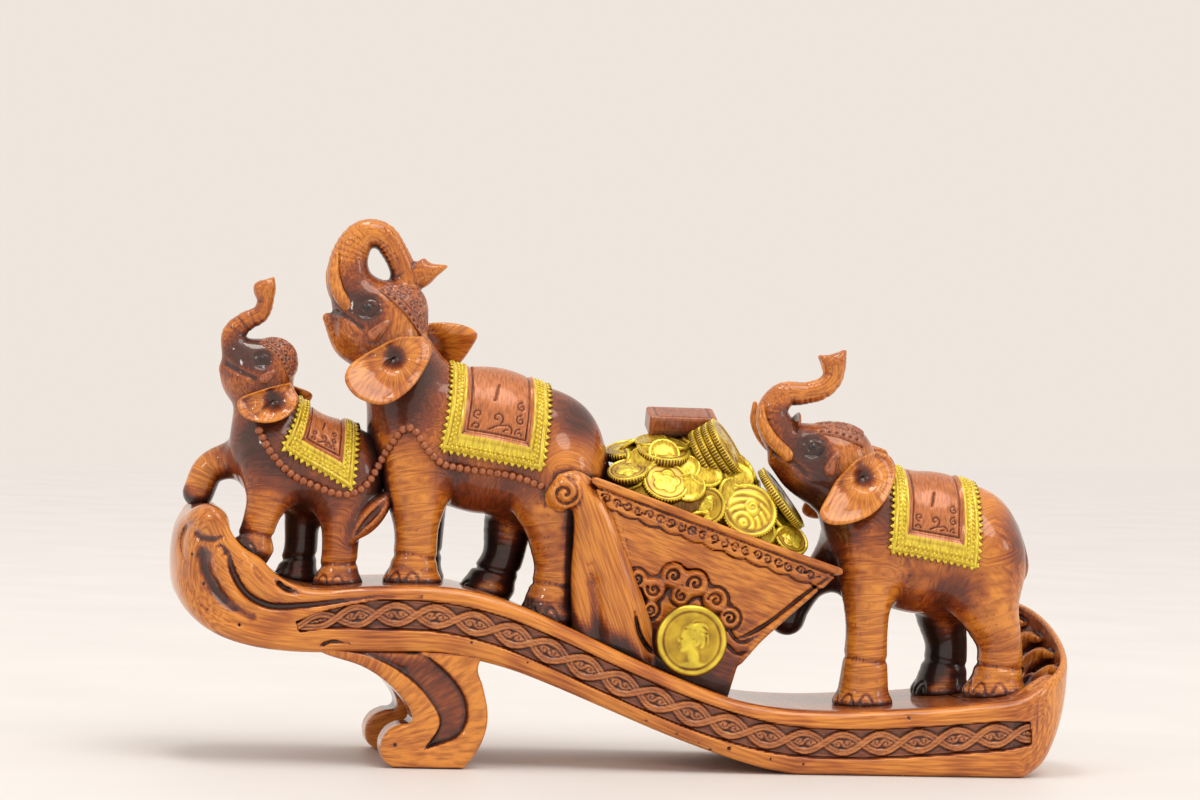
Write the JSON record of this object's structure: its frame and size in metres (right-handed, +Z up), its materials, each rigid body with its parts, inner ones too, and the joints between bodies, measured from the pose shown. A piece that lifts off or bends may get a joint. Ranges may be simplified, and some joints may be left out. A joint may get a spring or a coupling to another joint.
{
  "type": "elephant procession figurine",
  "caption": "Carved wood-look ornament: elephants with raised trunks pull and push a hopper heaped with coins along an S-shaped scroll stand.",
  "frame": {"origin": "middle of the bounding box's bottom, on the surface the stand rests on", "axes": "+X along the stand from the lead elephant to the rear one, so the elephants face -X; their left sides face -Y; +Z up"},
  "size_m": [0.33, 0.078, 0.1929],
  "materials": {
    "amber_wood": "glossy amber lacquer over brushed grain, brown stain left in the recesses",
    "dark_wood": "glossy reddish-brown stain",
    "gold_paint": "yellow-green metallic gold paint, brown stain rubbed into the carving"
  },
  "bodies": {
    "root": {"stand_plinth": "amber_wood", "scroll_leg": "amber_wood", "left_frieze": "dark_wood", "right_frieze": "dark_wood", "lead_elephant": "amber_wood", "lead_left_ear": "amber_wood", "lead_right_ear": "amber_wood", "lead_headdress": "dark_wood", "lead_saddle_cloth": "gold_paint", "middle_elephant": "amber_wood", "middle_left_ear": "amber_wood", "middle_right_ear": "amber_wood", "middle_left_tusk": "amber_wood", "middle_right_tusk": "amber_wood", "middle_headdress": "dark_wood", "middle_saddle_cloth": "gold_paint", "rear_elephant": "amber_wood", "rear_left_ear": "amber_wood", "rear_right_ear": "amber_wood", "rear_left_tusk": "amber_wood", "rear_right_tusk": "amber_wood", "rear_headdress": "dark_wood", "rear_saddle_cloth": "gold_paint", "left_bead_garland": "amber_wood", "right_bead_garland": "amber_wood", "left_harness_leaf": "amber_wood", "right_harness_leaf": "amber_wood", "hopper": "amber_wood", "left_medallion": "gold_paint", "right_medallion": "gold_paint", "coin_heap": "gold_paint", "ingot": "dark_wood", "stack_coin_1": "gold_paint", "stack_coin_2": "gold_paint", "stack_coin_3": "gold_paint", "stack_coin_4": "gold_paint", "blossom_coin": "gold_paint", "portrait_coin": "gold_paint", "spiral_coin": "gold_paint", "rim_coin": "gold_paint", "left_corner_coin": "gold_paint", "lying_coin": "gold_paint", "leaning_coin": "gold_paint", "high_coin": "gold_paint", "nested_coin": "gold_paint", "far_blossom_coin": "gold_paint", "far_portrait_coin": "gold_paint", "far_spiral_coin": "gold_paint", "far_rim_coin": "gold_paint"}
  },
  "joints": []
}
